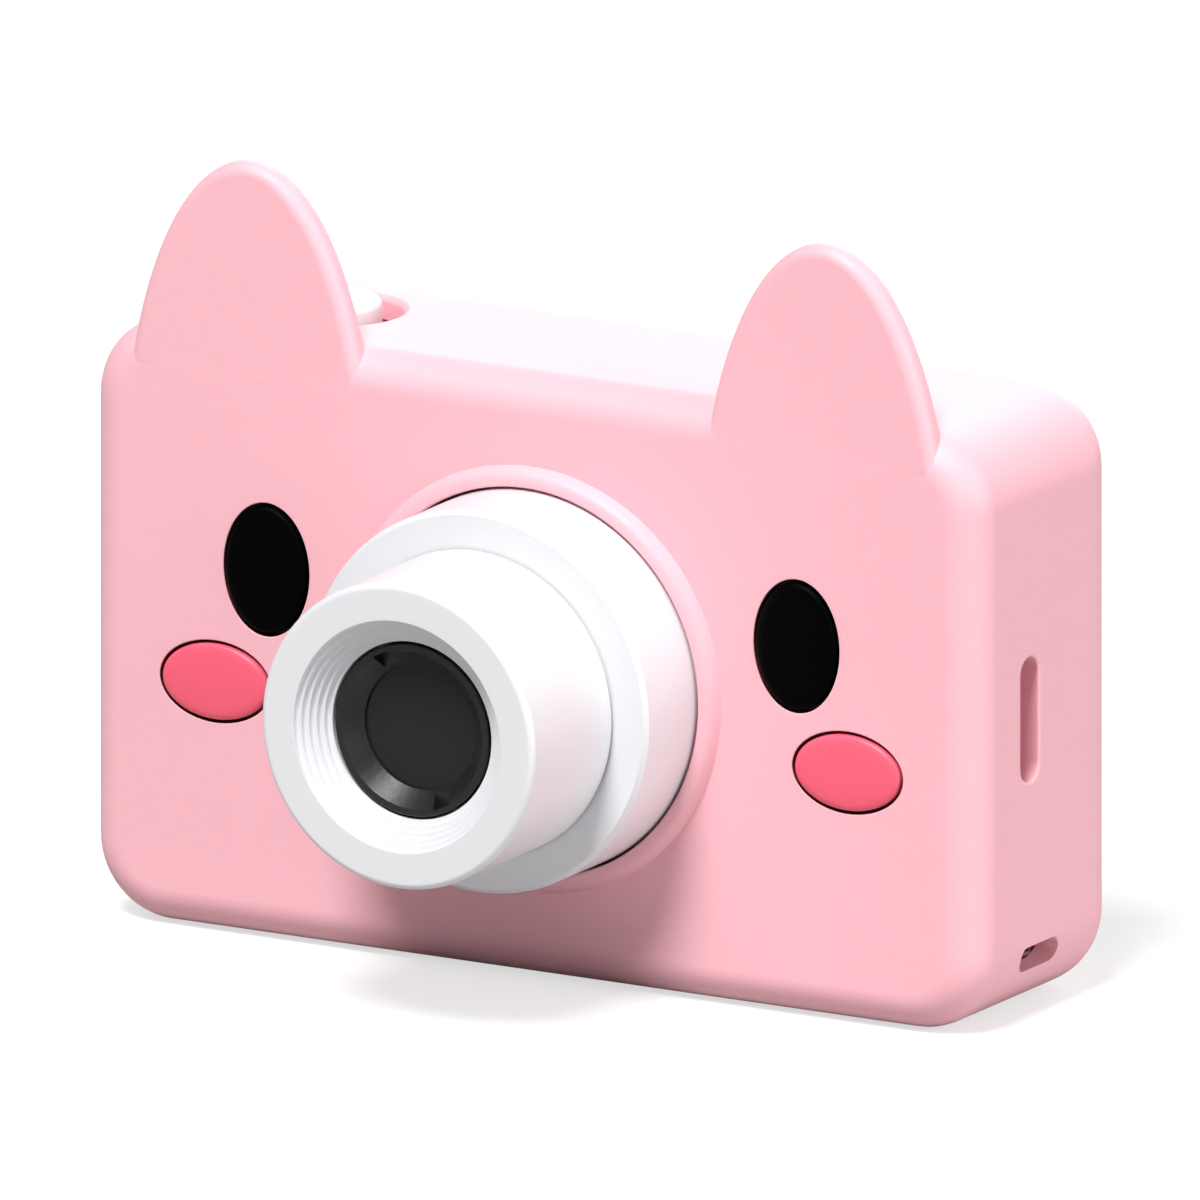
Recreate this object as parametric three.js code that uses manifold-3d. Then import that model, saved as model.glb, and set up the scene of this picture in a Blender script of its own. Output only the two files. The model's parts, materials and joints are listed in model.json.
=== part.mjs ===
// A kids digital camera: a soft sleeve with a plain round-eyed face and two ears, pulled over a
// hard camera whose lens stands out of the sleeve as a stepped snout.
// Millimetres. +Z is up, the lens looks along -Y, and the origin is the middle of the flat base.
import * as THREE from 'three';
import { mergeVertices } from 'three/addons/utils/BufferGeometryUtils.js';
import Module from 'manifold-3d';

const wasm = await Module();
wasm.setup();

// ---- Driving dimensions -------------------------------------------------------------------------
const fit = 0.3;                    // running gap between separate pieces
const roundSides = 40;              // sides of the large round pieces

const sleeveWidth = 102.8, sleeveHeight = 62.1, sleeveDepth = 29.5;
const sleeveWall = 2.4, sleeveCorner = 8.3, frontFillet = 4, rearFillet = 6;
const rearLipSide = 6, rearLipEnd = 5.5, rearOpeningCorner = 5;
const earCentre = 33.2, earRise = 17.9, earSlope = 12, earTaper = 0.175, earThickness = 3.1;
const earEdge = 1.3, earSink = 1;
const collarRadius = 21.95, collarProud = 1.4, collarEdge = 0.6;

const eyeCentre = 30.6, eyeLift = 7.3, eyeWidth = 9.2, eyeHeight = 13.1;
const cheekCentre = 36.5, cheekDrop = 5, cheekWidth = 12.1, cheekHeight = 7.8;
const insertDepth = 1.2, insertProud = 0.5, insertEdge = 0.4, insertGap = 0.35;

const lensHeight = 31.1;            // lens axis above the base
const barrelRadius = 19.67, barrelReach = 10.9, barrelWall = 2, barrelEdge = 0.5;
const noseRadius = 15.75, noseReach = 26.9, noseEdge = 0.7, neckRadius = 13, neckBore = 9.6;
const ridgeMouth = 11.9, ridgeFoot = 8.85, ridgeDepth = 3, ridgeCount = 5;
const ringDepth = 1.8, ringFunnelMouth = 8, ringBore = 6.45, notchWidth = 2, notchDepth = 1.3;
const glassRadius = 8.5, glassThickness = 1.2, ledgeBore = 7.3, ledgeThickness = 1.5;
const cellRadius = 5.9, cellLength = 20, holderRadius = 7.8, holderLength = 15.5;
const elementRadius = 4.6, elementThickness = 1.4;
const sensorSide = 8, sensorThickness = 1, sensorBoardSide = 20, boardThickness = 1;

const shellWall = 2, splitLine = 6; // the case halves meet at this Y
const postRadius = 3, postInset = 5.2, lowPostHeight = 14, highPostHeight = 50;
const screwRadius = 0.8, screwHead = 1.5, screwHeadHeight = 0.9, screwBite = 4;
const sensorScrewBite = 1.8;
const caseScrewRadius = 1.1, caseScrewHead = 2.1, caseScrewHeadHeight = 1.1, caseScrewLength = 12;
const studRadius = 2;

const mainBoardFront = -2.4, mainBoardThickness = 1.2;
const mainBoardBottom = 9.5, mainBoardMargin = 9.5;
const lowStudHeight = 13, highStudHeight = 45.9;
const batteryWidth = 26, batteryHeight = 38, batteryThickness = 6, batteryInset = 9, batteryFoot = 8;
const batteryCorner = 1.5;
const chipSide = 11, chipThickness = 1.2, chipLeft = 12;
const microphoneRadius = 2, microphoneHeight = 1.5, microphoneX = 24, microphoneDrop = 4;
const flexWidth = 8, flexStart = 3, flexBend = 13, flexEnd = 20, flexCorner = 1.5;

const slotLength = 12.9, slotWidth = 3.6, slotBehindFront = 10.8;
const socketWidth = 13.8, socketDepth = 14.2, socketThickness = 2, socketWall = 0.4;
const portLength = 7.5, portHeight = 2.5, portBehindFront = 12.95, portLift = 6.3;
const portOutset = 0.5, portDepth = 6.5, portSheet = 0.35, portBack = 0.8;
const portBoardLength = 17, portBoardReach = 5, portTongueInset = 1.8, portTongueThickness = 0.6;

const shutterX = -31, shutterY = 0, shutterOpening = 13.5;
const shutterRadius = 4.6, shutterProud = 1.2, shutterTravel = 0.8, shutterEdge = 0.9;
const switchSide = 6, switchHeight = 3, stemRadius = 1.25, stemShow = 2, wellDepth = 1.5;

const screenWidth = 47, screenHeight = 36, screenThickness = 2.5, screenCentreHeight = 32;
const viewBorder = 2.5, viewBorderEnd = 2, windowLip = 3.5, windowThickness = 1.1;
const frameWall = 1.7, frameDepth = 4.4, frameLedge = 3, frameGap = 0.3;
const padRadius = 8.2, padHeight = 28, keyRadius = 2.9, middleKeyRadius = 3.4;
const topKeyHeight = 43.4, topKeySpread = 6, keyProud = 1, keyTravel = 0.6, keyEdge = 0.5;
const keyFlange = 0.7, flangeThickness = 1, keyBoardHalfWidth = 11.6, keyBoardBottom = 15;
const keyBoardTop = 47, keyStudHeights = [17.6, 38.6], keyStudSpread = 9.3;
const speakerWidth = 16, speakerHeight = 7.6, speakerThickness = 3.2, grilleSlots = 3;
const grilleLength = 9, grilleWidth = 1, grillePitch = 2.1;

// ---- Places worked out from the sizes above -----------------------------------------------------
const frontPlane = -sleeveDepth / 2, rearPlane = sleeveDepth / 2;
const shellInset = sleeveWall + fit;
const shellFront = frontPlane + shellInset, shellRear = rearPlane - shellInset;
const shellHalfWidth = sleeveWidth / 2 - shellInset;
const shellBottom = shellInset, shellTop = sleeveHeight - shellInset;
const wallFront = shellFront + shellWall, wallRear = shellRear - shellWall;
const roomHalfWidth = shellHalfWidth - shellWall;
const roomBottom = shellBottom + shellWall, roomTop = shellTop - shellWall;
const postX = roomHalfWidth - postInset;
const pilot = screwRadius + fit, casePilot = caseScrewRadius + fit;
const viewWidth = screenWidth - 2 * viewBorder, viewHeight = screenHeight - 2 * viewBorderEnd;
const barrelFront = frontPlane - barrelReach, noseFront = frontPlane - noseReach;
const noseScrewCircle = (neckRadius + neckBore) / 2;
const ringFace = noseFront + ridgeDepth, glassFace = ringFace + ringDepth + fit;
const ledgeFace = glassFace + glassThickness + fit;
const sensorBoardFront = wallFront + screwHeadHeight + 2 * fit;
const sensorBoardRear = sensorBoardFront + boardThickness;
const mainBoardRear = mainBoardFront + mainBoardThickness;
const keyX = -(postX - postRadius - fit - keyBoardHalfWidth);
const screenX = postX - postRadius - fit - frameWall - frameGap - screenWidth / 2;
const keyBoardRear = wallRear - fit - flangeThickness - keyTravel - fit - switchHeight - fit;
const flangeTop = roomTop - fit, flangeBottom = flangeTop - flangeThickness;
const shutterSwitchTop = flangeBottom - shutterTravel - stemShow;
const shutterSwitchBottom = shutterSwitchTop - switchHeight;
const buttonTop = sleeveHeight + shutterProud;
const mainBoardTop = shutterSwitchBottom - boardThickness - 2 * fit;
const mainBoardHalfWidth = roomHalfWidth - mainBoardMargin;

// ---- Materials ----------------------------------------------------------------------------------
const finish = (color, roughness, metalness = 0, extra = {}) =>
  new THREE.MeshStandardMaterial({ color, roughness, metalness, ...extra });
const pinkSilicone = finish(0xffb9c3, 0.55);
const hotPink = finish(0xff697d, 0.5);
const blackGloss = finish(0x0c0b0b, 0.3);
const whiteGloss = finish(0xf4f4f6, 0.3);
const pinkPlastic = finish(0xf0a6b1, 0.5);
const blackPlastic = finish(0x151516, 0.5);
const clearGlass = finish(0x2e2e2f, 0.05, 0, { transparent: true, opacity: 0.6 });
const boardGreen = finish(0x1f6b45, 0.6);
const steel = finish(0xb8bcc0, 0.35, 1);
const foil = finish(0xc4c6c9, 0.45, 0.8);
const screenBlack = finish(0x111418, 0.15);
const amber = finish(0xb8772a, 0.5);

// ---- Helpers ------------------------------------------------------------------------------------
const camera = new THREE.Group();

// A closed geometry as a solid, its faces turned outwards whichever way they were drawn.
function solid(geometry) {
  geometry.deleteAttribute('normal');
  geometry.deleteAttribute('uv');
  const merged = mergeVertices(geometry, 1e-4);
  const vertProperties = new Float32Array(merged.attributes.position.array);
  const triVerts = new Uint32Array(merged.index.array);
  const body = new wasm.Manifold(new wasm.Mesh({ numProp: 3, vertProperties, triVerts }));
  if (body.volume() > 0) return body;
  return new wasm.Manifold(new wasm.Mesh({ numProp: 3, vertProperties, triVerts: triVerts.reverse() }));
}

const join = (first, ...others) => others.reduce((sum, next) => sum.add(next), first);
const cut = (first, ...others) => others.reduce((rest, next) => rest.subtract(next), first);

function add(name, body, material) {
  const { vertProperties, triVerts, numProp } = body.getMesh();
  const geometry = new THREE.BufferGeometry();
  const corners = new Float32Array(vertProperties.length / numProp * 3);
  for (let i = 0; i < corners.length / 3; i += 1) {
    corners.set(vertProperties.slice(i * numProp, i * numProp + 3), i * 3);
  }
  geometry.setAttribute('position', new THREE.BufferAttribute(corners, 3));
  geometry.setIndex(new THREE.BufferAttribute(new Uint32Array(triVerts), 1));
  const mesh = new THREE.Mesh(geometry, material);
  mesh.name = name;
  camera.add(mesh);
  return mesh;
}

// A straight block between two corners.
function block([x0, y0, z0], [x1, y1, z1]) {
  const box = new THREE.BoxGeometry(x1 - x0, y1 - y0, z1 - z0);
  return solid(box.translate((x0 + x1) / 2, (y0 + y1) / 2, (z0 + z1) / 2));
}

// An outline drawn in X and Z, run through the depth from one Y to another.
function through(shape, y0, y1, segments = 12) {
  const options = { depth: y1 - y0, bevelEnabled: false, curveSegments: segments };
  const body = new THREE.ExtrudeGeometry(shape, options);
  return solid(body.rotateX(Math.PI / 2).translate(0, y1, 0));
}

// A round solid about an axis along Y: pairs of radius and Y, starting and ending on the axis.
function turned(profile, x, z, segments = 36) {
  const points = profile.map(([radius, y]) => new THREE.Vector2(radius, y));
  return solid(new THREE.LatheGeometry(points, segments).translate(x, 0, z));
}

const rod = (radius, x, z, y0, y1, segments = 16) =>
  turned([[0, y0], [radius, y0], [radius, y1], [0, y1]], x, z, segments);

// The same, about an upright axis: pairs of radius and Z.
function upright(profile, x, y, segments = 28) {
  const points = profile.map(([radius, z]) => new THREE.Vector2(radius, z));
  return solid(new THREE.LatheGeometry(points, segments).rotateX(Math.PI / 2).translate(x, y, 0));
}

function roundedRectangle(width, height, corner, centreX = 0, centreZ = 0) {
  const x = centreX - width / 2, z = centreZ - height / 2, r = Math.min(corner, width / 2, height / 2);
  const shape = new THREE.Shape();
  shape.absarc(x + width - r, z + r, r, -Math.PI / 2, 0);
  shape.absarc(x + width - r, z + height - r, r, 0, Math.PI / 2);
  shape.absarc(x + r, z + height - r, r, Math.PI / 2, Math.PI);
  shape.absarc(x + r, z + r, r, Math.PI, Math.PI * 1.5);
  return shape;
}

// A rounded rectangle carried through the depth, drawn in by an inset that changes with Y.
function softBox(width, height, corner, steps, perCorner = 6) {
  const positions = [], faces = [], count = 4 * (perCorner + 1);
  for (const [y, inset] of steps) {
    const r = corner - inset;
    for (let i = 0; i < count; i += 1) {
      const quarter = Math.floor(i / (perCorner + 1));
      const angle = (quarter + (i % (perCorner + 1)) / perCorner) * Math.PI / 2;
      const signX = quarter === 0 || quarter === 3 ? 1 : -1, signZ = quarter < 2 ? 1 : -1;
      positions.push(signX * (width / 2 - corner) + r * Math.cos(angle), y,
        height / 2 + signZ * (height / 2 - corner) + r * Math.sin(angle));
    }
  }
  for (let ring = 0; ring < steps.length - 1; ring += 1) {
    for (let i = 0; i < count; i += 1) {
      const a = ring * count + i, b = ring * count + (i + 1) % count;
      faces.push(a, a + count, b, b, a + count, b + count);
    }
  }
  const last = (steps.length - 1) * count;
  for (let i = 1; i < count - 1; i += 1) {
    faces.push(0, i, i + 1, last, last + i + 1, last + i);
  }
  const geometry = new THREE.BufferGeometry();
  geometry.setAttribute('position', new THREE.Float32BufferAttribute(positions, 3));
  geometry.setIndex(faces);
  return solid(geometry);
}

// Steps of Y and inset that round one edge of a soft box, from its face to its full width.
function filletSteps(face, radius, direction, count) {
  return Array.from({ length: count + 1 }, (_, i) => {
    const angle = i / count * Math.PI / 2;
    return [face + direction * radius * (1 - Math.cos(angle)), radius * (1 - Math.sin(angle))];
  });
}

// An oval set along Y with its front edge rounded.
function oval(width, height, x, z, rear, front, edge, segments = 28) {
  const profile = [[0, front], [1 - 2 * edge / width, front], [1 - 0.6 * edge / width, front + 0.3 * edge],
    [1, front + edge], [1, rear], [0, rear]];
  const body = new THREE.LatheGeometry(profile.map(([r, y]) => new THREE.Vector2(r, y)), segments);
  return solid(body.scale(width / 2, 1, height / 2).translate(x, 0, z));
}

// A pan-head screw along Y: its head starts at a seat and its shank runs on in a direction.
function screw(radius, head, headHeight, length, x, z, seat, direction) {
  const top = seat - direction * headHeight, tip = seat + direction * length;
  const profile = [[0, top], [head, top], [head, seat], [radius, seat], [radius, tip], [0, tip]];
  return turned(profile, x, z, 12);
}

// ---- Soft sleeve --------------------------------------------------------------------------------
function ear(side) {
  const drop = earRise + frontFillet + earSink, count = 10, outline = [];
  for (let i = 0; i <= count; i += 1) {
    const down = drop * (i / count) ** 2;
    outline.push([Math.sqrt(earSlope * down - earTaper * down * down), sleeveHeight + earRise - down]);
  }
  const shape = new THREE.Shape();
  outline.forEach(([x, z], i) => shape[i ? 'lineTo' : 'moveTo'](x, z));
  outline.slice(1).reverse().forEach(([x, z]) => shape.lineTo(-x, z));
  const body = new THREE.ExtrudeGeometry(shape, {
    depth: earThickness - 2 * earEdge, bevelThickness: earEdge, bevelSize: earEdge,
    bevelOffset: -earEdge, bevelSegments: 2,
  });
  return solid(body.rotateX(Math.PI / 2).translate(side * earCentre, frontPlane + earThickness - earEdge, 0));
}

function sleeve() {
  const outside = softBox(sleeveWidth, sleeveHeight, sleeveCorner,
    [...filletSteps(frontPlane, frontFillet, 1, 4), ...filletSteps(rearPlane, rearFillet, -1, 4).reverse()]);
  const collar = turned([[0, frontPlane + 1], [collarRadius, frontPlane + 1], [collarRadius, frontPlane],
    [collarRadius - collarEdge * 0.4, frontPlane - collarProud + collarEdge],
    [collarRadius - collarEdge, frontPlane - collarProud], [0, frontPlane - collarProud]],
  0, lensHeight, roundSides);
  const room = softBox(sleeveWidth, sleeveHeight, sleeveCorner,
    [[frontPlane + sleeveWall, sleeveWall], [rearPlane - sleeveWall, sleeveWall]]);
  const rearOpening = through(roundedRectangle(sleeveWidth - 2 * rearLipSide,
    sleeveHeight - 2 * rearLipEnd, rearOpeningCorner, 0, sleeveHeight / 2), 0, rearPlane + 1, 5);
  const lensHole = rod(barrelRadius + fit, 0, lensHeight, frontPlane - collarProud - 1, 0, roundSides);
  const shutterHole = upright([[0, sleeveHeight / 2], [shutterOpening / 2, sleeveHeight / 2],
    [shutterOpening / 2, sleeveHeight + 1], [0, sleeveHeight + 1]], shutterX, shutterY);
  const pockets = [-1, 1].flatMap((side) => [
    oval(eyeWidth + 2 * insertGap, eyeHeight + 2 * insertGap, side * eyeCentre, lensHeight + eyeLift,
      frontPlane + insertDepth + fit, frontPlane - 1, 0.01, 28),
    oval(cheekWidth + 2 * insertGap, cheekHeight + 2 * insertGap, side * cheekCentre, lensHeight - cheekDrop,
      frontPlane + insertDepth + fit, frontPlane - 1, 0.01, 28),
  ]);
  const filled = join(outside, collar, ear(-1), ear(1));
  return cut(filled, room, rearOpening, lensHole, shutterHole, ...pockets,
    sideOpening(slotWidth, slotLength, slotBehindFront, lensHeight),
    sideOpening(portLength, portHeight, portBehindFront, portLift));
}

// A round-ended opening through the +X wall of the sleeve, right through its rounded inner corner.
function sideOpening(across, tall, behindFront, height) {
  const shape = roundedRectangle(across, tall, Math.min(across, tall) / 2);
  const depth = sleeveCorner + sleeveWall;
  const body = new THREE.ExtrudeGeometry(shape, { depth, bevelEnabled: false, curveSegments: 5 });
  body.rotateX(Math.PI / 2).rotateZ(Math.PI / 2);
  return solid(body.translate(sleeveWidth / 2 + 1 - depth, frontPlane + behindFront, height));
}

add('silicone_sleeve', sleeve(), pinkSilicone);
for (const [side, word] of [[-1, 'left'], [1, 'right']]) {
  add(`eye_${word}`, oval(eyeWidth, eyeHeight, side * eyeCentre, lensHeight + eyeLift,
    frontPlane + insertDepth, frontPlane - insertProud, insertEdge), blackGloss);
  add(`cheek_${word}`, oval(cheekWidth, cheekHeight, side * cheekCentre, lensHeight - cheekDrop,
    frontPlane + insertDepth, frontPlane - insertProud, insertEdge), hotPink);
}

// ---- Hard case ----------------------------------------------------------------------------------
const shellWidth = 2 * shellHalfWidth, shellHeight = shellTop - shellBottom;
const shellCorner = sleeveCorner - shellInset;
const posts = [-1, 1].flatMap((side) => [lowPostHeight, highPostHeight].map((z) => [side * postX, z]));
const noseScrews = [90, 210, 330].map((degrees) => {
  const angle = degrees * Math.PI / 180;
  return [noseScrewCircle * Math.cos(angle), lensHeight + noseScrewCircle * Math.sin(angle)];
});
const sensorScrews = [-1, 1].map((side) =>
  [side * (sensorBoardSide / 2 - studRadius), lensHeight + sensorBoardSide / 2 - studRadius]);
const mainScrews = [[0, lowStudHeight], [0, highStudHeight]];
const keyScrews = keyStudHeights.map((z, i) => [keyX + (i ? -1 : 1) * keyStudSpread, z]);

function shellBox(inset, y0, y1) {
  return softBox(shellWidth, shellHeight, shellCorner, [[y0, inset], [y1, inset]], 5)
    .translate([0, 0, shellBottom]);
}

function frontShell() {
  const walls = cut(shellBox(0, shellFront, splitLine), shellBox(shellWall, wallFront, splitLine + 1));
  const columns = posts.map(([x, z]) => rod(postRadius, x, z, wallFront - 1, splitLine));
  const studs = [
    ...sensorScrews.map(([x, z]) => rod(studRadius, x, z, wallFront - 1, sensorBoardFront - fit)),
    ...mainScrews.map(([x, z]) => rod(studRadius, x, z, wallFront - 1, mainBoardFront - fit)),
  ];
  const shelf = block([roomHalfWidth - portBoardLength + 1, wallFront - 1, roomBottom - 1],
    [roomHalfWidth - portBoardLength + 3, splitLine, portLift + portHeight / 2 + fit]);
  const boardEdge = mainBoardFront - fit - screwBite;
  const holes = [
    rod(holderRadius + fit, 0, lensHeight, shellFront - 1, wallFront + 1, 32),
    upright([[0, roomTop - 1], [shutterRadius + fit, roomTop - 1], [shutterRadius + fit, shellTop + 1],
      [0, shellTop + 1]], shutterX, shutterY, 24),
    ...posts.map(([x, z]) => rod(casePilot, x, z, splitLine - screwBite - 1, splitLine + 1, 14)),
    ...noseScrews.map(([x, z]) => rod(pilot, x, z, shellFront - 1, wallFront + 1, 14)),
    ...sensorScrews.map(([x, z]) => rod(pilot, x, z, shellFront + 1, wallFront + 4, 14)),
    ...mainScrews.map(([x, z]) => rod(pilot, x, z, boardEdge, mainBoardFront + 1, 14)),
    caseOpening(roomHalfWidth - 1, slotBehindFront, socketThickness, lensHeight, slotLength - 2 * fit),
    caseOpening(roomHalfWidth - shellCorner, portBehindFront, portLength, portLift, portHeight),
  ];
  return cut(join(walls, ...columns, ...studs, shelf), ...holes);
}

// A square opening out through the +X wall of the case.
function caseOpening(from, behindFront, across, height, tall) {
  return block([from, frontPlane + behindFront - across / 2, height - tall / 2],
    [shellHalfWidth + 1, frontPlane + behindFront + across / 2, height + tall / 2]);
}

function keyPlaces() {
  const middle = { name: 'ok', x: keyX, z: padHeight, radius: middleKeyRadius };
  const ring = ['left', 'up', 'right', 'down'].map((name, i) => ({
    name,
    x: keyX + padRadius * Math.cos(i * Math.PI / 2),
    z: padHeight + padRadius * Math.sin(i * Math.PI / 2),
    radius: keyRadius,
  }));
  const top = [['power', -1], ['mode', 1]].map(([name, side]) =>
    ({ name, x: keyX + side * topKeySpread, z: topKeyHeight, radius: keyRadius }));
  return [middle, ...ring, ...top];
}

function rearShell() {
  const start = splitLine + fit, seat = shellRear - windowThickness - fit;
  const screwSeat = shellRear - caseScrewHeadHeight - fit;
  const walls = cut(shellBox(0, start, shellRear), shellBox(shellWall, start - 1, wallRear));
  const columns = posts.map(([x, z]) => rod(postRadius, x, z, start, wallRear + 1));
  const studs = keyScrews.map(([x, z]) => rod(studRadius, x, z, keyBoardRear + fit, wallRear + 1));
  const view = (grow, corner, y0) => through(roundedRectangle(viewWidth + 2 * grow, viewHeight + 2 * grow,
    corner, screenX, screenCentreHeight), y0, shellRear + 1, 4);
  const holes = [
    view(0, 1.5, wallRear - 1),
    view(windowLip + fit, 3, seat),
    ...keyPlaces().map(({ x, z, radius }) => rod(radius + fit, x, z, wallRear - 1, shellRear + 1, 16)),
    ...posts.map(([x, z]) => rod(casePilot, x, z, start - 1, shellRear + 1, 14)),
    ...posts.map(([x, z]) => rod(caseScrewHead + fit, x, z, screwSeat, shellRear + 1, 16)),
    ...keyScrews.map(([x, z]) => rod(pilot, x, z, keyBoardRear, keyBoardRear + fit + screwBite, 14)),
  ];
  for (let i = 0; i < grilleSlots; i += 1) {
    const z = roomBottom + fit + speakerHeight / 2 + (i - (grilleSlots - 1) / 2) * grillePitch;
    holes.push(through(roundedRectangle(grilleLength, grilleWidth, grilleWidth / 2, keyX, z),
      wallRear - 1, shellRear + 1, 3));
  }
  return cut(join(walls, ...columns, ...studs), ...holes);
}

add('front_shell', frontShell(), pinkPlastic);
add('rear_shell', rearShell(), pinkPlastic);
posts.forEach(([x, z], i) => add(`case_screw_${i + 1}`, screw(caseScrewRadius, caseScrewHead,
  caseScrewHeadHeight - 0.1, caseScrewLength - screwBite, x, z, shellRear - caseScrewHeadHeight, -1), steel));

// ---- Lens ---------------------------------------------------------------------------------------
function barrel() {
  const foot = shellFront - fit, inner = barrelRadius - barrelWall;
  return turned([[neckRadius + fit, barrelFront], [barrelRadius - barrelEdge, barrelFront],
    [barrelRadius, barrelFront + barrelEdge], [barrelRadius, foot], [inner, foot],
    [inner, barrelFront + barrelWall], [neckRadius + fit, barrelFront + barrelWall],
    [neckRadius + fit, barrelFront]], 0, lensHeight, roundSides);
}

function nose() {
  const foot = shellFront - fit, shoulder = barrelFront - fit, bore = ridgeFoot + fit;
  const profile = [[ledgeBore, ledgeFace], [bore, ledgeFace], [bore, ringFace - 0.05]];
  for (let i = 0; i < ridgeCount; i += 1) {
    const wide = bore + (ridgeMouth - bore) * (i + 1) / ridgeCount;
    profile.push([wide, ringFace - 0.05 - (ridgeDepth - 0.05) * i / ridgeCount]);
    profile.push([wide, ringFace - 0.05 - (ridgeDepth - 0.05) * (i + 1) / ridgeCount]);
  }
  profile.push([noseRadius - noseEdge, noseFront], [noseRadius - noseEdge * 0.3, noseFront + noseEdge * 0.3],
    [noseRadius, noseFront + noseEdge], [noseRadius, shoulder], [neckRadius, shoulder], [neckRadius, foot],
    [neckBore, foot], [neckBore, ledgeFace + ledgeThickness], [ledgeBore, ledgeFace + ledgeThickness],
    [ledgeBore, ledgeFace]);
  const pilots = noseScrews.map(([x, z]) => rod(pilot, x, z, foot - screwBite - fit, foot + 1, 12));
  return cut(turned(profile.reverse(), 0, lensHeight, roundSides), ...pilots);
}

function retainingRing() {
  const rear = ringFace + ringDepth;
  const ring = turned([[ringBore, rear], [ringFunnelMouth, ringFace], [ridgeFoot, ringFace],
    [ridgeFoot, rear], [ringBore, rear]].reverse(), 0, lensHeight, 48);
  const notch = solid(new THREE.BoxGeometry(4 * ringBore, notchDepth, notchWidth)
    .translate(0, ringFace, 0).rotateY(-115 * Math.PI / 180).translate(0, 0, lensHeight));
  const core = rod(ridgeFoot - notchDepth * 0.4, 0, lensHeight, ringFace - 1, rear, 48);
  return cut(ring, notch.intersect(core));
}

add('lens_barrel', barrel(), whiteGloss);
add('lens_nose', nose(), whiteGloss);
add('lens_retaining_ring', retainingRing(), blackPlastic);
add('lens_window', rod(glassRadius, 0, lensHeight, glassFace, glassFace + glassThickness, 40), clearGlass);
noseScrews.forEach(([x, z], i) => add(`nose_screw_${i + 1}`, screw(screwRadius, screwHead,
  screwHeadHeight - 0.1, shellWall + screwBite, x, z, wallFront + 0.1, -1), steel));

// ---- Camera module ------------------------------------------------------------------------------
const holderRear = sensorBoardFront - fit, holderFront = holderRear - holderLength;
const cellFront = ledgeFace + ledgeThickness + fit, cellRear = cellFront + cellLength;
const elementFace = cellFront + 0.8;

add('lens_cell', turned([[elementRadius + fit, cellFront], [cellRadius, cellFront], [cellRadius, cellRear],
  [elementRadius - 1.5, cellRear], [elementRadius - 1.5, elementFace + elementThickness + fit],
  [elementRadius + fit, elementFace + elementThickness + fit],
  [elementRadius + fit, cellFront]], 0, lensHeight, 32), blackPlastic);
add('lens_element', turned([[0, elementFace], [elementRadius * 0.6, elementFace + 0.15],
  [elementRadius, elementFace + 0.5], [elementRadius, elementFace + elementThickness],
  [0, elementFace + elementThickness]], 0, lensHeight, 32), clearGlass);
add('lens_holder', turned([[cellRadius + fit, holderFront], [holderRadius, holderFront],
  [holderRadius, holderRear], [cellRadius + fit, holderRear], [cellRadius + fit, holderFront]],
0, lensHeight, 32), blackPlastic);
add('image_sensor', block(
  [-sensorSide / 2, sensorBoardFront - fit - sensorThickness, lensHeight - sensorSide / 2],
  [sensorSide / 2, sensorBoardFront - fit, lensHeight + sensorSide / 2]), screenBlack);
add('sensor_board', cut(block(
  [-sensorBoardSide / 2, sensorBoardFront, lensHeight - sensorBoardSide / 2],
  [sensorBoardSide / 2, sensorBoardFront + boardThickness, lensHeight + sensorBoardSide / 2]),
...sensorScrews.map(([x, z]) =>
  rod(pilot, x, z, sensorBoardFront - 1, sensorBoardRear + 1, 12))), boardGreen);
sensorScrews.forEach(([x, z], i) => add(`sensor_screw_${i + 1}`, screw(screwRadius, screwHead,
  screwHeadHeight, boardThickness + 2 * fit + sensorScrewBite, x, z, sensorBoardRear + fit, -1), steel));

// ---- Main board and what it carries -------------------------------------------------------------
function mainBoard() {
  const sheet = block([-mainBoardHalfWidth, mainBoardFront, mainBoardBottom],
    [mainBoardHalfWidth, mainBoardRear, mainBoardTop]);
  const tongue = block([mainBoardHalfWidth - 1, mainBoardFront, lensHeight - socketWidth / 2 - 2],
    [roomHalfWidth - fit, mainBoardRear, lensHeight + socketWidth / 2 + 2]);
  const holes = mainScrews.map(([x, z]) => rod(pilot, x, z, mainBoardFront - 1, mainBoardRear + 1, 12));
  return cut(join(sheet, tongue), ...holes);
}

// A thin strip along a bent route in X and Y, standing on a height range.
function ribbon(route, thickness, z0, z1) {
  const shape = new THREE.Shape();
  const side = (sign) => route.map(([x, y], i) => {
    const [ax, ay] = route[Math.max(i - 1, 0)], [bx, by] = route[Math.min(i + 1, route.length - 1)];
    const length = Math.hypot(bx - ax, by - ay);
    return [x - sign * (by - ay) / length * thickness / 2, y + sign * (bx - ax) / length * thickness / 2];
  });
  [...side(-1), ...side(1).reverse()].forEach(([x, y], i) => shape[i ? 'lineTo' : 'moveTo'](x, y));
  const body = new THREE.ExtrudeGeometry(shape, { depth: z1 - z0, bevelEnabled: false });
  return solid(body.translate(0, 0, z0));
}

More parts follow.
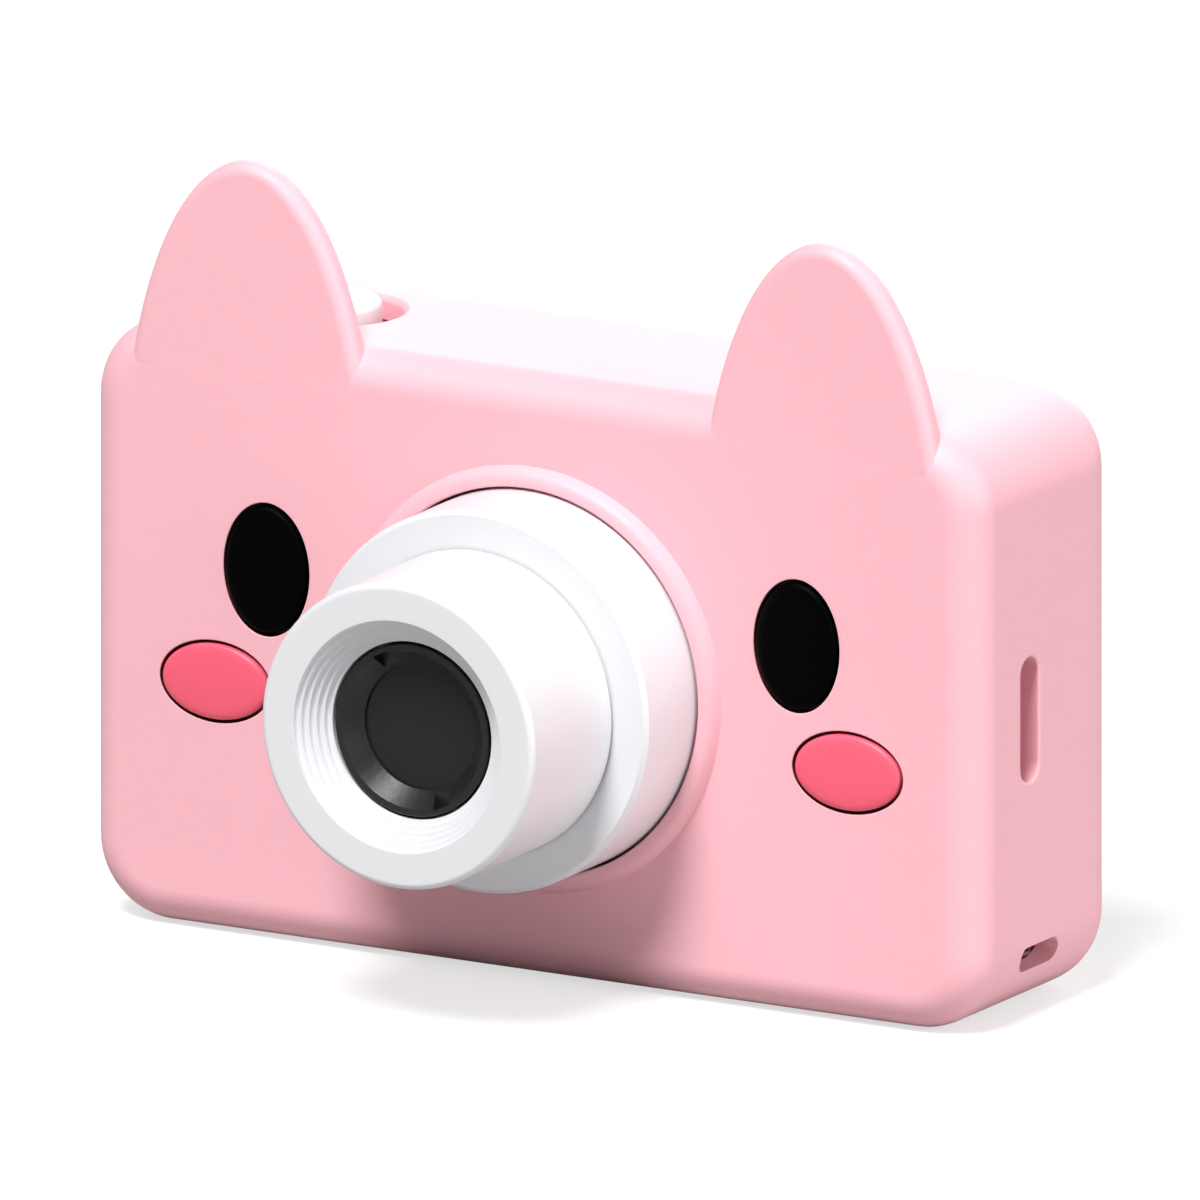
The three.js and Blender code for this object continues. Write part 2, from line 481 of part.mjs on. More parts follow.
add('main_board', mainBoard(), boardGreen);
mainScrews.forEach(([x, z], i) => add(`board_screw_${i + 1}`, screw(screwRadius, screwHead,
  screwHeadHeight, mainBoardThickness + 2 * fit + screwBite - 0.8, x, z, mainBoardRear + fit, -1), steel));
add('sensor_flex', ribbon([[flexStart, sensorBoardRear + 1.5 * fit],
  [flexBend - flexCorner, sensorBoardRear + 1.5 * fit], [flexBend, sensorBoardRear + flexCorner],
  [flexBend, mainBoardFront - flexCorner], [flexBend + flexCorner, mainBoardFront - 1.7 * fit],
  [flexEnd, mainBoardFront - 1.7 * fit]],
fit, lensHeight - flexWidth / 2, lensHeight + flexWidth / 2), amber);
add('battery', batteryPouch(-(roomHalfWidth - batteryInset), wallFront + fit, batteryFoot), foil);
add('processor', block([chipLeft, mainBoardRear + fit, lensHeight - chipSide / 2],
  [chipLeft + chipSide, mainBoardRear + fit + chipThickness, lensHeight + chipSide / 2]), blackPlastic);
add('microphone', rod(microphoneRadius, microphoneX, mainBoardTop - microphoneDrop,
  mainBoardFront - fit - microphoneHeight, mainBoardFront - fit, 20), steel);
add('card_socket', cardSocket(), steel);

function batteryPouch(x, y, z) {
  const centre = [x + batteryWidth / 2, z + batteryHeight / 2];
  return through(roundedRectangle(batteryWidth, batteryHeight, batteryCorner, ...centre),
    y, y + batteryThickness, 3);
}

function cardSocket() {
  const rear = mainBoardFront - fit, front = rear - socketThickness, right = roomHalfWidth - fit;
  const low = lensHeight - socketWidth / 2, high = lensHeight + socketWidth / 2;
  return cut(block([right - socketDepth, front, low], [right, rear, high]),
    block([right - socketDepth + 1, front + socketWall, low + 1], [right + 1, rear - socketWall, high - 1]));
}

// ---- Charging port ------------------------------------------------------------------------------
const portRight = shellHalfWidth - portOutset, portCentreY = frontPlane + portBehindFront;
function portShell() {
  const outer = (inset, x0, x1) => block(
    [x0, portCentreY - portLength / 2 + inset, portLift - portHeight / 2 + inset],
    [x1, portCentreY + portLength / 2 - inset, portLift + portHeight / 2 - inset]);
  return cut(outer(fit, portRight - portDepth, portRight),
    outer(fit + portSheet, portRight - portDepth + portBack, portRight + 1));
}
add('port_shell', portShell(), steel);
add('port_tongue', block(
  [portRight - portDepth + portBack + fit, portCentreY - portLength / 2 + portTongueInset,
    portLift - portTongueThickness / 2],
  [portRight - 1, portCentreY + portLength / 2 - portTongueInset, portLift + portTongueThickness / 2]),
blackPlastic);
const portBoardFoot = portLift + portHeight / 2 + 2 * fit;
add('port_board', block([roomHalfWidth - portBoardLength, portCentreY - portBoardReach, portBoardFoot],
  [roomHalfWidth - fit, portCentreY + portBoardReach, portBoardFoot + boardThickness]), boardGreen);

// ---- Shutter ------------------------------------------------------------------------------------
add('shutter_button', upright([[0, shutterSwitchTop - fit], [stemRadius, shutterSwitchTop - fit],
  [stemRadius, flangeBottom], [shutterRadius + keyFlange, flangeBottom],
  [shutterRadius + keyFlange, flangeTop], [shutterRadius, flangeTop],
  [shutterRadius, buttonTop - shutterEdge],
  [shutterRadius - shutterEdge * 0.3, buttonTop - shutterEdge * 0.3],
  [shutterRadius - shutterEdge, buttonTop], [0, buttonTop + 0.15]], shutterX, shutterY), whiteGloss);
add('shutter_switch', cut(block([shutterX - switchSide / 2, shutterY - switchSide / 2, shutterSwitchBottom],
  [shutterX + switchSide / 2, shutterY + switchSide / 2, shutterSwitchTop]),
upright([[0, shutterSwitchTop - wellDepth], [stemRadius + fit, shutterSwitchTop - wellDepth],
  [stemRadius + fit, shutterSwitchTop + 1], [0, shutterSwitchTop + 1]],
shutterX, shutterY, 16)), blackPlastic);
add('shutter_board', block([shutterX - 6, shutterY - 5, mainBoardTop + fit],
  [shutterX + 6, shutterY + switchSide / 2 + 0.4, shutterSwitchBottom - fit]), boardGreen);

// ---- Rear keys ----------------------------------------------------------------------------------
const keyBoardFront = keyBoardRear - boardThickness, switchFront = keyBoardRear + fit;
const switchRear = switchFront + switchHeight, keyFace = shellRear + keyProud;
function key({ x, z, radius }) {
  const flangeRear = wallRear - fit, flangeFront = flangeRear - flangeThickness;
  return turned([[0, switchRear - fit], [stemRadius, switchRear - fit], [stemRadius, flangeFront],
    [radius + keyFlange, flangeFront], [radius + keyFlange, flangeRear], [radius, flangeRear],
    [radius, keyFace - keyEdge], [radius - keyEdge, keyFace], [0, keyFace + 0.1]], x, z, 16);
}
for (const place of keyPlaces()) {
  const { name, x, z } = place;
  add(`${name}_key`, key(place), whiteGloss);
  const half = Math.min(switchSide / 2, 2.3);
  add(`${name}_switch`, cut(block([x - half, switchFront, z - half], [x + half, switchRear, z + half]),
    rod(stemRadius + fit, x, z, switchRear - wellDepth, switchRear + 1, 10)), blackPlastic);
}
add('key_board', cut(block([keyX - keyBoardHalfWidth, keyBoardFront, keyBoardBottom],
  [keyX + keyBoardHalfWidth, keyBoardRear, keyBoardTop]),
...keyScrews.map(([x, z]) => rod(pilot, x, z, keyBoardFront - 1, keyBoardRear + 1, 12))), boardGreen);
keyScrews.forEach(([x, z], i) => add(`key_screw_${i + 1}`, screw(screwRadius, screwHead,
  screwHeadHeight, boardThickness + 2 * fit + screwBite - 0.8, x, z, keyBoardFront - fit, 1), steel));

// ---- Screen and speaker -------------------------------------------------------------------------
const panelRear = wallRear - fit, panelFront = panelRear - screenThickness;
function screenFrame() {
  const outline = (grow, y0, y1) => through(roundedRectangle(screenWidth + 2 * grow, screenHeight + 2 * grow,
    1, screenX, screenCentreHeight), y0, y1, 2);
  return cut(outline(frameGap + frameWall, panelRear - frameDepth, panelRear),
    outline(frameGap, panelFront - fit, panelRear + 1),
    outline(-frameLedge, panelRear - frameDepth - 1, panelRear));
}
add('screen_panel', block([screenX - screenWidth / 2, panelFront, screenCentreHeight - screenHeight / 2],
  [screenX + screenWidth / 2, panelRear, screenCentreHeight + screenHeight / 2]), screenBlack);
add('screen_frame', screenFrame(), blackPlastic);
add('screen_window', through(roundedRectangle(viewWidth + 2 * windowLip, viewHeight + 2 * windowLip, 2.7,
  screenX, screenCentreHeight), shellRear - windowThickness, shellRear, 4), clearGlass);
add('speaker', block([keyX - speakerWidth / 2, panelRear - speakerThickness, roomBottom + fit],
  [keyX + speakerWidth / 2, panelRear, roomBottom + fit + speakerHeight]), blackPlastic);

export default camera;
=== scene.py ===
"""A kids digital camera in a soft eared sleeve: finishes, fine meshes, light and view."""
import json
import math

import bmesh
import bpy
from mathutils import Matrix, Vector


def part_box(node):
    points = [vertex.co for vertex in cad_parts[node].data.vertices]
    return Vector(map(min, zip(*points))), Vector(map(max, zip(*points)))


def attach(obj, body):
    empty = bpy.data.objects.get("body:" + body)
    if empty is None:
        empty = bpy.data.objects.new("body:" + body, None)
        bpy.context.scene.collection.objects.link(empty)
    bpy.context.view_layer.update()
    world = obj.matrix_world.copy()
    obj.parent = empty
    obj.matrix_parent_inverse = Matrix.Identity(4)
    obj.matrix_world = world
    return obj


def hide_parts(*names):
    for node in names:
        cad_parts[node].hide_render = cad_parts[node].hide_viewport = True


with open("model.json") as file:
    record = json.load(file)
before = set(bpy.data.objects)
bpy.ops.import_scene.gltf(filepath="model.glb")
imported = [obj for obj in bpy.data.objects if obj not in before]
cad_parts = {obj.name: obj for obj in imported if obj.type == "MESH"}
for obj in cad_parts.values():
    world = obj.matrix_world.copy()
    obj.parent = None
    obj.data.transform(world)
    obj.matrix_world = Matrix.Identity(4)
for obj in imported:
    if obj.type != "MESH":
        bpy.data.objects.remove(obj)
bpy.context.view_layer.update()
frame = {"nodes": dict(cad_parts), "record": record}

MM = 0.001
TURN = 2 * math.pi


def node_box(node):
    """The lowest and highest corner of a node, in millimetres."""
    low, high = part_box(node)
    return Vector(low) / MM, Vector(high) / MM


def middle(node):
    low, high = node_box(node)
    return (low + high) / 2


# ---- Sizes, in millimetres ------------------------------------------------------------------------
wall = 2.4
shell_wall = 2.0
fit = 0.3
flange = 0.7                 # the flange of a key or button past its cap
flange_thickness = 1.0
stem_radius = 1.25

sleeve_low, sleeve_high = node_box("silicone_sleeve")
front_shell_high = node_box("front_shell")[1]
rear_shell_low, rear_shell_high = node_box("rear_shell")
rear_plane = sleeve_high.y
front_plane = -rear_plane
half_width = sleeve_high.x
sleeve_height = front_shell_high.z + wall + fit
corner = 8.3
front_fillet = 4.0
rear_fillet = 6.0
rear_lip = Vector((6, 0, 5.5))
rear_opening_corner = 5.0

lens_x, lens_z = middle("lens_nose").x, middle("lens_nose").z
nose_front, nose_foot = (place.y for place in node_box("lens_nose"))
barrel_front, barrel_foot = (place.y for place in node_box("lens_barrel"))
barrel_radius = node_box("lens_barrel")[1].x - lens_x
nose_radius = node_box("lens_nose")[1].x - lens_x
neck_radius = 13.0
collar_radius = 21.95
collar_top = sleeve_low.y


# ---- Mesh helpers ---------------------------------------------------------------------------------
def bevel_edges(bm, edges, width, steps):
    bmesh.ops.bevel(bm, geom=list(edges), offset=width, offset_type="OFFSET", segments=steps,
                    profile=0.5, affect="EDGES", clamp_overlap=True, material=-1)


def sharp_edges(bm, degrees=30):
    limit = math.radians(degrees)
    return [e for e in bm.edges if len(e.link_faces) == 2 and e.calc_face_angle() > limit]


def block(low, high):
    """A plain block between two corners."""
    bm = bmesh.new()
    bmesh.ops.create_cube(bm, size=1)
    size = Vector(high) - Vector(low)
    bmesh.ops.scale(bm, vec=size, verts=bm.verts)
    bmesh.ops.translate(bm, vec=(Vector(high) + Vector(low)) / 2, verts=bm.verts)
    return bm


def along(edge, axis):
    way = (edge.verts[1].co - edge.verts[0].co).normalized()
    return abs(way[axis]) > 0.999


def slab(low, high, round_corner, front=0.0, rear=0.0, axis=1, steps=12, edge_steps=8):
    """A block whose four edges along one axis are rounded, and then its two end rims."""
    bm = block(low, high)
    bevel_edges(bm, [e for e in bm.edges if along(e, axis)], round_corner, steps)
    for place, width in ((low[axis], front), (high[axis], rear)):
        if width:
            rim = [e for e in bm.edges
                   if all(abs(v.co[axis] - place) < 1e-4 for v in e.verts)]
            bevel_edges(bm, rim, width, edge_steps)
    return bm


def turned(profile, x, z, sides=96, bevel=0.0, bevel_steps=3):
    """A solid turned about an axis along Y, from pairs of radius and Y that run axis to axis."""
    bm = bmesh.new()
    points = [bm.verts.new((x + radius, y, z)) for radius, y in profile]
    for first, second in zip(points, points[1:]):
        bm.edges.new((first, second))
    bmesh.ops.spin(bm, geom=bm.verts[:] + bm.edges[:], cent=(x, 0, z), axis=(0, 1, 0),
                   angle=TURN, steps=sides, use_merge=True)
    bmesh.ops.remove_doubles(bm, verts=bm.verts, dist=1e-4)
    bmesh.ops.recalc_face_normals(bm, faces=bm.faces)
    if bevel:
        bevel_edges(bm, sharp_edges(bm), bevel, bevel_steps)
    return bm


def plate(outlines, start, end):
    """Flat shapes drawn in X and Z, each run from one Y to another."""
    bm = bmesh.new()
    for outline in outlines:
        face = bm.faces.new([bm.verts.new((x, start, z)) for x, z in outline])
        made = bmesh.ops.extrude_face_region(bm, geom=[face], use_keep_orig=True)
        moved = [v for v in made["geom"] if isinstance(v, bmesh.types.BMVert)]
        bmesh.ops.translate(bm, vec=(0, end - start, 0), verts=moved)
    bmesh.ops.recalc_face_normals(bm, faces=bm.faces)
    return bm


def flare(bm, axis, inside, surface, rim, steps=5):
    """Carries a cutter's end on past a surface and widens it, so that the edge it cuts is rounded."""
    outward = 1 if surface > inside else -1
    end = [f for f in bm.faces if all(abs(v.co[axis] - inside) < 1e-4 for v in f.verts)]
    rest = {v for f in end for v in f.verts}
    low = [min(v.co[i] for v in rest) for i in range(3)]
    high = [max(v.co[i] for v in rest) for i in range(3)]
    centre = (Vector(low) + Vector(high)) / 2
    half = (Vector(high) - Vector(low)) / 2
    stations = [(surface - outward * rim * (1 - math.sin(a)), rim * (1 - math.cos(a)))
                for a in (i / steps * math.pi / 2 for i in range(1, steps + 1))]
    stations.append((surface + 2 * outward, rim))
    grown, depth = 0.0, inside
    for place, grow in stations:
        made = bmesh.ops.extrude_face_region(bm, geom=end)
        bmesh.ops.delete(bm, geom=end, context="FACES_ONLY")
        verts = [v for v in made["geom"] if isinstance(v, bmesh.types.BMVert)]
        end = [f for f in made["geom"] if isinstance(f, bmesh.types.BMFace)]
        ratio = [1.0 if i == axis else (half[i] + grow) / (half[i] + grown) for i in range(3)]
        bmesh.ops.scale(bm, vec=ratio, verts=verts, space=Matrix.Translation(-centre))
        shift = Vector((0, 0, 0))
        shift[axis] = place - depth
        bmesh.ops.translate(bm, vec=shift, verts=verts)
        grown, depth = grow, place
    bmesh.ops.recalc_face_normals(bm, faces=bm.faces)
    return bm


def round_cutter(x, z, half_x, half_z, inside, surface, rim, sides=72):
    """Cuts a round or oval opening through a face that looks along Y, with a rounded edge."""
    start = surface - rim if surface > inside else surface + rim
    bm = turned([(0, inside), (1, inside), (1, start), (0, start)], 0, 0, sides)
    bmesh.ops.dissolve_limit(bm, angle_limit=0.01, verts=bm.verts, edges=bm.edges)
    bmesh.ops.scale(bm, vec=(half_x, 1, half_z), verts=bm.verts)
    bmesh.ops.translate(bm, vec=(x, 0, z), verts=bm.verts)
    return flare(bm, 1, start, surface, rim)


def slot_cutter(low, high, round_corner, surface, rim, axis=1, steps=8):
    """Cuts a round-cornered opening, from inside the wall to its outer surface."""
    start = surface - rim
    end = high.copy()
    end[axis] = start
    return flare(slab(low, end, round_corner, axis=axis, steps=steps), axis, start, surface, rim)


def ring_profile(points):
    """A closed profile, for a piece with a hole right through it."""
    return points + points[:1]


def swing_up(bm, x, y):
    """Moves a solid turned about the Y axis onto an upright axis at x and y."""
    bmesh.ops.rotate(bm, cent=(0, 0, 0), matrix=Matrix.Rotation(math.pi / 2, 3, "X"), verts=bm.verts)
    bmesh.ops.translate(bm, vec=(x, y, 0), verts=bm.verts)
    return bm


def stretch(bm, x, z, across, tall):
    """Widens a solid round the axis through x and z, which makes a round solid oval."""
    bmesh.ops.scale(bm, vec=(across, 1, tall), verts=bm.verts,
                    space=Matrix.Translation((-x, 0, -z)))
    return bm


def thing(name, bm, closed=True):
    """Turns a bmesh in millimetres into an object in metres. A piece of the object is always closed."""
    bmesh.ops.remove_doubles(bm, verts=bm.verts, dist=1e-4)
    bmesh.ops.recalc_face_normals(bm, faces=bm.faces)
    open_edges = sum(len(e.link_faces) != 2 for e in bm.edges)
    if closed and open_edges:
        raise ValueError(f"{name} has {open_edges} open edges")
    bmesh.ops.scale(bm, vec=(MM, MM, MM), verts=bm.verts)
    mesh = bpy.data.meshes.new(name)
    bm.to_mesh(mesh)
    bm.free()
    obj = bpy.data.objects.new(name, mesh)
    bpy.context.scene.collection.objects.link(obj)
    return obj


def boolean(obj, tools, operation):
    """Joins or cuts a piece with others, which are used up."""
    for i, tool in enumerate(tools):
        other = thing(f"tool_{i}", tool)
        modifier = obj.modifiers.new("boolean", "BOOLEAN")
        modifier.operation = operation
        modifier.solver = "MANIFOLD"
        modifier.object = other
        graph = bpy.context.evaluated_depsgraph_get()
        mesh = bpy.data.meshes.new_from_object(obj.evaluated_get(graph))
        obj.modifiers.clear()
        old, obj.data = obj.data, mesh
        bpy.data.meshes.remove(old)
        bpy.data.objects.remove(other)
    return obj


def shade(obj, degrees=32):
    obj.data.shade_smooth()
    obj.data.set_sharp_from_angle(angle=math.radians(degrees))
    weighted = obj.modifiers.new("even_shading", "WEIGHTED_NORMAL")
    weighted.keep_sharp = True
    weighted.weight = 90
    return obj


def piece(obj, material, slot, body, *nodes, degrees=32):
    """Gives a finished piece its material and its body, and hides the nodes it stands for."""
    shade(obj, degrees)
    obj.data.materials.clear()
    obj.data.materials.append(material)
    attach(obj, body)
    if nodes:
        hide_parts(*nodes)
    return obj


# ---- Materials ------------------------------------------------------------------------------------
def linear(red, green, blue):
    """The linear colour of a colour written from 0 to 255."""
    def one(value):
        share = value / 255
        return share / 12.92 if share <= 0.04045 else ((share + 0.055) / 1.055) ** 2.4
    return one(red), one(green), one(blue), 1.0


def moulded(name, colour, roughness, tint=0.03, spread=0.05, grain=900.0, relief=0.05,
            mottle=60.0, metallic=0.0, coat=0.0, specular=0.5):
    """A moulded or rolled surface: faint colour drift, uneven gloss and a fine grain."""
    material = bpy.data.materials.new(name)
    material.use_nodes = True
    nodes, links = material.node_tree.nodes, material.node_tree.links
    shader = nodes["Principled BSDF"]
    shader.inputs["Metallic"].default_value = metallic
    shader.inputs["Coat Weight"].default_value = coat
    shader.inputs["Coat Roughness"].default_value = 0.08
    shader.inputs["Specular IOR Level"].default_value = specular
    place = nodes.new("ShaderNodeTexCoord")

    drift = nodes.new("ShaderNodeTexNoise")
    drift.inputs["Scale"].default_value = mottle
    drift.inputs["Detail"].default_value = 3
    links.new(place.outputs["Object"], drift.inputs["Vector"])
    shades = nodes.new("ShaderNodeMix")
    shades.data_type = "RGBA"
    shades.inputs[6].default_value = tuple(c * (1 - tint) for c in colour[:3]) + (1.0,)
    shades.inputs[7].default_value = tuple(min(c * (1 + tint), 1.0) for c in colour[:3]) + (1.0,)
    links.new(drift.outputs["Fac"], shades.inputs[0])
    links.new(shades.outputs[2], shader.inputs["Base Color"])

    gloss = nodes.new("ShaderNodeMapRange")
    gloss.inputs["To Min"].default_value = roughness - spread
    gloss.inputs["To Max"].default_value = roughness + spread
    links.new(drift.outputs["Fac"], gloss.inputs["Value"])
    links.new(gloss.outputs["Result"], shader.inputs["Roughness"])

    speckle = nodes.new("ShaderNodeTexNoise")
    speckle.inputs["Scale"].default_value = grain
    speckle.inputs["Detail"].default_value = 2
    links.new(place.outputs["Object"], speckle.inputs["Vector"])
    bump = nodes.new("ShaderNodeBump")
    bump.inputs["Strength"].default_value = relief
    bump.inputs["Distance"].default_value = 0.0002
    links.new(speckle.outputs["Fac"], bump.inputs["Height"])
    links.new(bump.outputs["Normal"], shader.inputs["Normal"])
    return material


def silicone(name, colour):
    material = moulded(name, colour, 0.52, tint=0.012, spread=0.04, grain=2200, relief=0.05, mottle=35)
    shader = material.node_tree.nodes["Principled BSDF"]
    shader.inputs["Subsurface Weight"].default_value = 0.12
    shader.inputs["Subsurface Radius"].default_value = (1.0, 0.45, 0.4)
    shader.inputs["Subsurface Scale"].default_value = 0.0015
    shader.inputs["Sheen Weight"].default_value = 0.05
    return material


def clear(name, tint, roughness, see_through):
    material = moulded(name, tint, roughness, tint=0.01, spread=0.01, grain=400, relief=0.004)
    shader = material.node_tree.nodes["Principled BSDF"]
    shader.inputs["Transmission Weight"].default_value = see_through
    shader.inputs["IOR"].default_value = 1.49
    return material


sleeve_pink = silicone("sleeve_pink", linear(255, 190, 200))
eye_black = moulded("eye_black", linear(2, 2, 2), 0.5, grain=1500, relief=0.03, specular=0.03)
cheek_pink = moulded("cheek_pink", linear(255, 98, 122), 0.45, tint=0.02, grain=1500, relief=0.04)
# Dark maroon as painted shade, for the walls and floor of the eye and cheek pockets round the inserts.
painted_pocket_shade = moulded("painted_pocket_shade", linear(92, 34, 44), 0.6, grain=1200, relief=0.05)
case_pink = moulded("case_pink", linear(236, 150, 162), 0.45, tint=0.02, grain=1400, relief=0.12)
glossy_white = moulded("glossy_white", linear(232, 232, 235), 0.32, tint=0.008, grain=1800,
                       relief=0.03, coat=0.15)
matt_black = moulded("matt_black", linear(24, 24, 25), 0.42, grain=1600, relief=0.1)
# Opaque near-black for the clear lens window: painted shade for the dark inside of the lens.
window_painted_shade = moulded("window_painted_shade", linear(38, 38, 40), 0.25, tint=0.02, spread=0.02, grain=500,
                      relief=0.005, specular=0.2)
screen_black = moulded("screen_black", linear(14, 15, 18), 0.2, grain=900, relief=0.01, coat=0.4)
screen_glass = moulded("screen_glass", linear(16, 17, 20), 0.1, tint=0.02, spread=0.02, grain=60,
                       relief=0.004, mottle=8, coat=0.5)
lens_clear = clear("lens_clear", linear(235, 238, 242), 0.04, 0.9)
board_green = moulded("board_green", linear(26, 92, 58), 0.45, tint=0.15, mottle=300, grain=700)
plain_steel = moulded("plain_steel", linear(196, 198, 201), 0.3, tint=0.04, grain=900,
                      relief=0.08, metallic=1.0)
battery_foil = moulded("battery_foil", linear(188, 190, 194), 0.35, tint=0.05, mottle=120,
                       grain=300, relief=0.2, metallic=0.9)
flex_amber = moulded("flex_amber", linear(176, 108, 34), 0.3, tint=0.06, grain=600, coat=0.3)


# ---- Soft sleeve ----------------------------------------------------------------------------------
ear_slope = 12.0
ear_taper = 0.175
ear_thickness = 3.1
ear_edge = 1.3
ear_centre = 33.2
ear_sink = 1.0
behind_face = 0.006


def ear(side):
    """An upright ear: a curved outline given its thickness, with both rims rounded."""
    drop = sleeve_high.z - sleeve_height + front_fillet + ear_sink
    count = 26
    outline = []
    for i in range(-count, count + 1):
        down = drop * (i / count) ** 2
        across = math.copysign(math.sqrt(ear_slope * down - ear_taper * down * down), i)
        outline.append((side * ear_centre + across, sleeve_high.z - down))
    bm = plate([outline], front_plane, front_plane + ear_thickness)
    rims = [e for e in sharp_edges(bm, 60) if abs(e.verts[0].co.y - e.verts[1].co.y) < 1e-5]
    bevel_edges(bm, rims, ear_edge, 6)
    bmesh.ops.translate(bm, vec=(0, behind_face, 0), verts=bm.verts)
    return bm


def opening_through_top(x, y, radius, rim):
    """The round opening over the shutter button, with a soft rounded edge."""
    cutter = round_cutter(0, 0, radius, radius, sleeve_height / 2, sleeve_height, rim)
    return swing_up(cutter, x, y)


INSERTS = ("eye_left", "eye_right", "cheek_left", "cheek_right")
insert_gap = 0.35


def insert_pocket(name):
    low, high = node_box(name)
    centre, size = (low + high) / 2, high - low
    return round_cutter(centre.x, centre.z, size.x / 2 + insert_gap, size.z / 2 + insert_gap,
                        high.y + fit, front_plane, 0.12)


def in_insert_pocket(place):
    """Whether a point of the sleeve lies in the wall or floor of an eye's or cheek's pocket."""
    for name in INSERTS:
        low, high = node_box(name)
        centre, size = (low + high) / 2, high - low
        across = (place.x - centre.x) / (size.x / 2 + insert_gap + 0.1)
        tall = (place.z - centre.z) / (size.z / 2 + insert_gap + 0.1)
        if across ** 2 + tall ** 2 < 1 and front_plane + 0.1 < place.y < high.y + 2 * fit:
            return True
    return False


def paint_pocket_shade(obj, material, chosen):
    """Paints shade on the faces whose middle is chosen, by giving them a second material."""
    obj.data.materials.append(material)
    for face in obj.data.polygons:
        if chosen(face.center / MM):
            face.material_index = 1


top_opening_radius = 6.75
card_slot_back = 10.8
card_slot_corner = 1.79
port_corner = 1.24
side_cut_reach = 11
side_cut_round = 0.3


def build_sleeve():
    low = Vector((-half_width, front_plane, 0))
    high = Vector((half_width, rear_plane, sleeve_height))
    outside = slab(low, high, corner, front_fillet, rear_fillet, steps=14, edge_steps=9)
    sleeve = thing("sleeve", outside)
    collar = turned([(0, front_plane + 1), (collar_radius, front_plane + 1),
                     (collar_radius, front_plane), (collar_radius - 0.3, collar_top + 0.7),
                     (collar_radius - 0.6, collar_top + 0.25), (collar_radius - 1.0, collar_top + 0.05),
                     (collar_radius - 1.4, collar_top), (0, collar_top)], lens_x, lens_z, 128)
    boolean(sleeve, [ear(-1), ear(1), collar], "UNION")
    inset = Vector((wall, wall, wall))
    room = slab(low + inset, high - inset, corner - wall, steps=8)
    rear_hole = slot_cutter(Vector((low.x + rear_lip.x, 0, rear_lip.z)), high - rear_lip,
                            rear_opening_corner, rear_plane, 1.0)
    lens_hole = round_cutter(lens_x, lens_z, barrel_radius + fit, barrel_radius + fit, 0, collar_top,
                             0.25, sides=128)
    button = middle("shutter_button")
    slot_centre = Vector((half_width, front_plane + card_slot_back, lens_z))
    slot_half = Vector((side_cut_reach, 1.8, 6.45))
    port_centre = Vector((half_width, middle("port_shell").y, middle("port_shell").z))
    port_half = Vector((side_cut_reach, 3.75, 1.25))
    card_slot = slot_cutter(slot_centre - slot_half, slot_centre + slot_half, card_slot_corner,
                            half_width, side_cut_round, axis=0)
    port_hole = slot_cutter(port_centre - port_half, port_centre + port_half, port_corner,
                            half_width, side_cut_round, axis=0)
    top_hole = opening_through_top(button.x, button.y, top_opening_radius, 0.7)
    cuts = [room, rear_hole, lens_hole, top_hole, card_slot, port_hole,
            *(insert_pocket(name) for name in INSERTS)]
    boolean(sleeve, cuts, "DIFFERENCE")
    piece(sleeve, sleeve_pink, "sleeve", "camera", "silicone_sleeve")
    # The pocket walls and floors get the dark maroon: painted shade in the gaps round the eyes and cheeks.
    paint_pocket_shade(sleeve, painted_pocket_shade, in_insert_pocket)


build_sleeve()


def build_inserts():
    """The eyes and cheeks, each a low dome with a rounded rim in its pocket."""
    for name in INSERTS:
        slot = name.split("_")[0]
        material = {"eye": eye_black, "cheek": cheek_pink}[slot]
        start, end = node_box(name)
        centre, size = (start + end) / 2, end - start
        top = start.y
        profile = [(0, top), (0.5, top + 0.03), (0.8, top + 0.1), (0.93, top + 0.2), (0.98, top + 0.35),
                   (1.0, top + 0.6), (1.0, end.y), (0, end.y)]
        bm = stretch(turned(profile, centre.x, centre.z, 96), centre.x, centre.z, size.x / 2, size.z / 2)
        piece(thing(f"{name}_inlay", bm), material, slot, "camera", name, degrees=50)


build_inserts()


